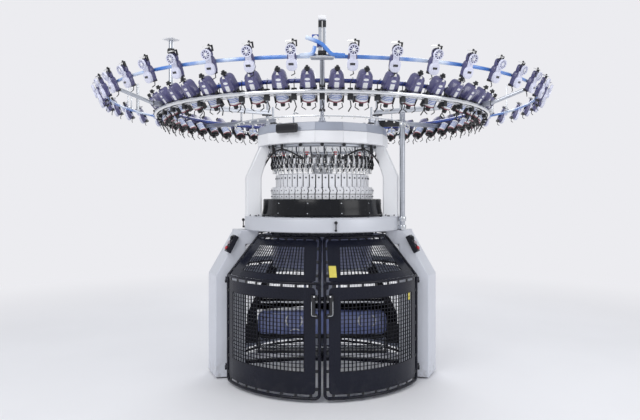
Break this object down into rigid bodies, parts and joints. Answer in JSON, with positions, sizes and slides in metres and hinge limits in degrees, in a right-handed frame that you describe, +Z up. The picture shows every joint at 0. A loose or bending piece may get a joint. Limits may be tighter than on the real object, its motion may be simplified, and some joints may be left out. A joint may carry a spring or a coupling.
{
  "type": "industrial knitting machine",
  "caption": "Circular knitting machine on three legs with mesh gates, a round needle cylinder, a take-down frame and two rings of yarn feeders above.",
  "frame": {"origin": "centre of the machine on the floor", "axes": "+Z up, -Y to the front with the two gates, +X to the right seen from the front"},
  "size_m": [3.7322, 3.7247, 3.108],
  "materials": {
    "white_enamel": "satin enamel",
    "grey_enamel": "satin enamel",
    "blue_black_enamel": "semi-gloss enamel",
    "black_gloss": "high gloss",
    "dark_steel": "oiled",
    "bright_steel": "ground",
    "chrome": "polished",
    "aluminium": "anodised",
    "cast_grey": "painted",
    "violet_plastic": "gloss",
    "pale_plastic": "gloss",
    "blue_hose": "gloss",
    "rubber_black": "matt",
    "black_plastic": "matt",
    "grey_plastic": "matt",
    "red_plastic": "gloss"
  },
  "bodies": {
    "frame": {"leg_left": "white_enamel", "leg_right": "white_enamel", "leg_rear": "white_enamel", "levelling_pads": "rubber_black", "base_cross": "cast_grey", "bed_ring": "white_enamel", "upright_left": "white_enamel", "upright_right": "white_enamel", "upright_rear": "white_enamel", "upper_ring": "white_enamel", "cylinder_skirt": "black_gloss", "cam_segments": "dark_steel", "yarn_carriers": "bright_steel", "ring_posts": "bright_steel", "ring_arms": "aluminium", "inner_ring": "chrome", "outer_ring": "blue_hose", "ring_clamps": "aluminium", "ring_hangers": "aluminium", "storage_feeders": "violet_plastic", "feeder_hose": "blue_hose", "roller_feeders": "violet_plastic", "head_mast": "aluminium", "head_hoses": "blue_hose", "rear_mast": "aluminium", "side_column": "aluminium", "column_beam": "black_plastic", "lamp_box": "black_gloss", "drive_motor": "grey_enamel", "motor_bracket": "cast_grey", "hinge_brackets": "blue_black_enamel", "rear_guards": "blue_black_enamel", "button_boxes": "white_enamel"},
    "cylinder": {"needle_cylinder": "bright_steel", "ring_gear": "dark_steel", "needles": "bright_steel", "takedown_posts": "bright_steel", "takedown_casing": "violet_plastic", "takedown_frame": "blue_black_enamel"},
    "pinion": {"drive_pinion": "dark_steel"},
    "front_roller": {"draw_roller_front": "rubber_black"},
    "rear_roller": {"draw_roller_rear": "rubber_black"},
    "winding": {"winding_shaft": "bright_steel"},
    "gate_left": {"gate_left_frame": "blue_black_enamel", "gate_left_panel": "blue_black_enamel", "gate_left_handle": "black_plastic"},
    "gate_right": {"gate_right_frame": "blue_black_enamel", "gate_right_panel": "blue_black_enamel", "gate_right_handle": "black_plastic"},
    "jog_left": {"jog_button_left": "black_plastic"},
    "jog_right": {"jog_button_right": "black_plastic"},
    "start_left": {"start_button_left": "grey_plastic"},
    "start_right": {"start_button_right": "grey_plastic"},
    "stop_left": {"stop_button_left": "red_plastic"},
    "stop_right": {"stop_button_right": "red_plastic"},
    "lever_front": {"front_lever": "black_plastic"},
    "lever_left": {"left_lever": "black_plastic"}
  },
  "joints": [
    {"name": "cylinder_spin", "type": "hinge", "parent": "frame", "child": "cylinder", "pos_m": [0, 0, 0], "axis": [0, 0, 1], "continuous": true},
    {"name": "pinion_spin", "type": "hinge", "parent": "frame", "child": "pinion", "pos_m": [0, 0.495, 1.17], "axis": [0, 0, 1], "continuous": true},
    {"name": "front_roller_spin", "type": "hinge", "parent": "cylinder", "child": "front_roller", "pos_m": [0, -0.0253, 0.292], "axis": [1, 0, 0], "continuous": true},
    {"name": "rear_roller_spin", "type": "hinge", "parent": "cylinder", "child": "rear_roller", "pos_m": [0, 0.0253, 0.292], "axis": [1, 0, 0], "continuous": true},
    {"name": "winding_spin", "type": "hinge", "parent": "cylinder", "child": "winding", "pos_m": [0, 0, 0.186], "axis": [1, 0, 0], "continuous": true},
    {"name": "right_gate_swing", "type": "hinge", "parent": "frame", "child": "gate_right", "pos_m": [0.76747, -0.34565, 0], "axis": [0, 0, 1], "range_deg": [0, 105]},
    {"name": "left_gate_swing", "type": "hinge", "parent": "frame", "child": "gate_left", "pos_m": [-0.76747, -0.34565, 0], "axis": [0, 0, -1], "range_deg": [0, 105]},
    {"name": "jog_left_press", "type": "slide", "parent": "frame", "child": "jog_left", "axis": [0.7989, 0.3641, -0.4787], "range_m": [0, 0.004], "stiffness_N_per_m": 600},
    {"name": "start_left_press", "type": "slide", "parent": "frame", "child": "start_left", "axis": [0.7989, 0.3641, -0.4787], "range_m": [0, 0.004], "stiffness_N_per_m": 600},
    {"name": "stop_left_press", "type": "slide", "parent": "frame", "child": "stop_left", "axis": [0.7989, 0.3641, -0.4787], "range_m": [0, 0.004], "stiffness_N_per_m": 600},
    {"name": "jog_right_press", "type": "slide", "parent": "frame", "child": "jog_right", "axis": [-0.7989, 0.3641, -0.4787], "range_m": [0, 0.004], "stiffness_N_per_m": 600},
    {"name": "start_right_press", "type": "slide", "parent": "frame", "child": "start_right", "axis": [-0.7989, 0.3641, -0.4787], "range_m": [0, 0.004], "stiffness_N_per_m": 600},
    {"name": "stop_right_press", "type": "slide", "parent": "frame", "child": "stop_right", "axis": [-0.7989, 0.3641, -0.4787], "range_m": [0, 0.004], "stiffness_N_per_m": 600},
    {"name": "front_lever_turn", "type": "hinge", "parent": "frame", "child": "lever_front", "pos_m": [0.10219, -0.66014, 1.236], "axis": [0.153, -0.9882, 0], "range_deg": [-15, 15]},
    {"name": "left_lever_turn", "type": "hinge", "parent": "frame", "child": "lever_left", "pos_m": [-0.66637, -0.0466, 1.236], "axis": [-0.9976, -0.0698, 0], "range_deg": [-15, 15]}
  ],
  "couplings": [
    {"joint": "pinion_spin", "follows": "cylinder_spin", "ratio": -8},
    {"joint": "front_roller_spin", "follows": "cylinder_spin", "ratio": -0.18},
    {"joint": "rear_roller_spin", "follows": "cylinder_spin", "ratio": 0.18}
  ]
}
